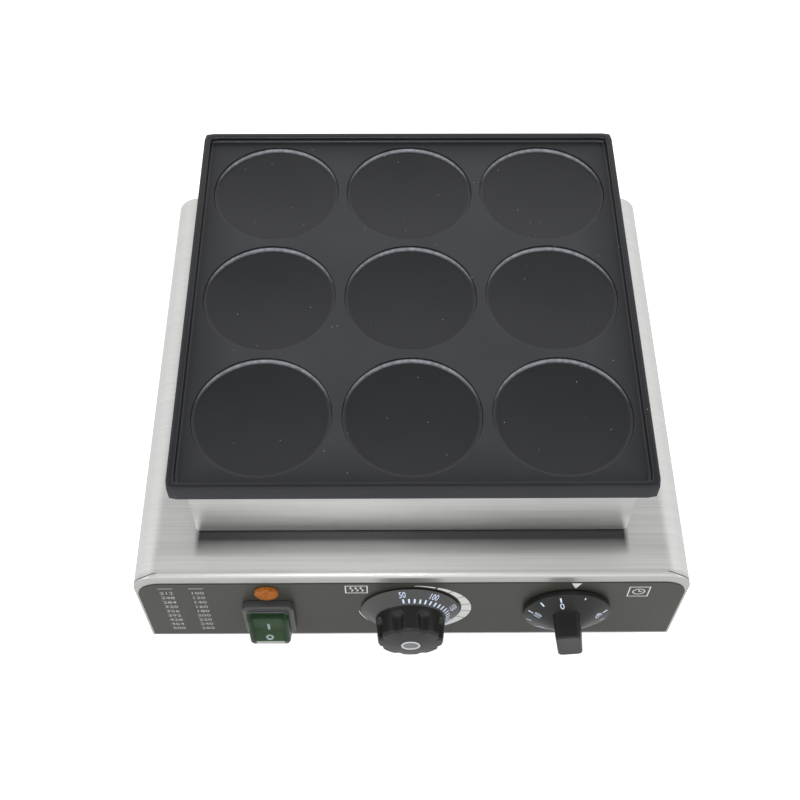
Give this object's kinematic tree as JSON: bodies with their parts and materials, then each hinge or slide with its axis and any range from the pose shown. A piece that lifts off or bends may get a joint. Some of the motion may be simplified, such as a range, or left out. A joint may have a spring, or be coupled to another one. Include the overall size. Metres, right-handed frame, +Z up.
{
  "type": "mini pancake griddle",
  "caption": "Countertop electric griddle: a rimmed square plate with round pancake hollows on a heater box, over a steel casing with rotary dials, a rocker switch and a pilot lamp.",
  "frame": {"origin": "middle of the whole footprint, knobs and cable gland included, at the height of the feet's undersides", "axes": "+Z up, out of the griddle deck; -Y towards the front with the controls; +X to the right seen from the front"},
  "size_m": [0.326, 0.3436, 0.1696],
  "materials": {
    "casing_steel": "brushed",
    "plain_steel": "satin",
    "control_film": "satin",
    "coated_casting": "matte",
    "fibre_board": "matte",
    "knob_plastic": "satin",
    "knob_cap": "satin",
    "control_case": "matte",
    "amber_lens": "gloss",
    "green_rocker": "gloss",
    "clear_boot": "gloss",
    "terminal_ceramic": "satin",
    "foot_rubber": "matte",
    "gland_plastic": "satin",
    "copper": "satin",
    "brass": "satin",
    "lead_sleeve": "matte"
  },
  "bodies": {
    "casing": {"body_shell": "casing_steel", "control_film": "control_film", "rear_panel": "casing_steel", "base_plate": "casing_steel", "heater_box": "casing_steel", "griddle_plate": "coated_casting", "heating_element_front": "plain_steel", "heating_element_middle": "plain_steel", "heating_element_rear": "plain_steel", "clamp_bar_left": "plain_steel", "clamp_bar_right": "plain_steel", "insulation_shelf": "plain_steel", "insulation_board": "fibre_board", "plate_stud_front_left": "plain_steel", "plate_stud_front_right": "plain_steel", "plate_stud_rear_left": "plain_steel", "plate_stud_rear_right": "plain_steel", "stud_nut_front_left": "plain_steel", "stud_nut_front_right": "plain_steel", "stud_nut_rear_left": "plain_steel", "stud_nut_rear_right": "plain_steel", "box_screw_front_left": "plain_steel", "box_screw_front_right": "plain_steel", "box_screw_rear_left": "plain_steel", "box_screw_rear_right": "plain_steel", "thermostat_bulb": "copper", "bulb_clip": "plain_steel", "thermostat_body": "control_case", "thermostat_screw_left": "plain_steel", "thermostat_screw_right": "plain_steel", "timer_body": "control_case", "timer_screw_left": "plain_steel", "timer_screw_right": "plain_steel", "lamp_body": "control_case", "lamp_lens": "amber_lens", "switch_body": "control_case", "switch_boot": "clear_boot", "terminal_block": "terminal_ceramic", "cable_gland": "gland_plastic", "gland_nut": "gland_plastic", "earth_screw": "brass", "foot_front_left": "foot_rubber", "foot_front_right": "foot_rubber", "foot_rear_left": "foot_rubber", "foot_rear_right": "foot_rubber", "foot_screw_front_left": "plain_steel", "foot_screw_front_right": "plain_steel", "foot_screw_rear_left": "plain_steel", "foot_screw_rear_right": "plain_steel", "element_lead_live": "lead_sleeve", "element_lead_neutral": "lead_sleeve", "control_loom": "lead_sleeve"},
    "temperature_dial": {"temperature_knob": "knob_plastic", "temperature_knob_cap": "knob_cap", "thermostat_shaft": "plain_steel"},
    "timer_dial": {"timer_knob": "knob_plastic", "timer_shaft": "plain_steel"},
    "rocker": {"switch_rocker": "green_rocker"}
  },
  "joints": [
    {"name": "temperature_turn", "type": "hinge", "parent": "casing", "child": "temperature_dial", "pos_m": [-0.0008, -0.1461, 0.0608], "axis": [0, -1, 0], "range_deg": [-53, 199]},
    {"name": "timer_turn", "type": "hinge", "parent": "casing", "child": "timer_dial", "pos_m": [0.0935, -0.1461, 0.0608], "axis": [0, 1, 0], "range_deg": [0, 270]},
    {"name": "rocker_tip", "type": "hinge", "parent": "casing", "child": "rocker", "pos_m": [-0.0861, -0.1451, 0.0534], "axis": [1, 0, 0], "range_deg": [0, 16]}
  ]
}
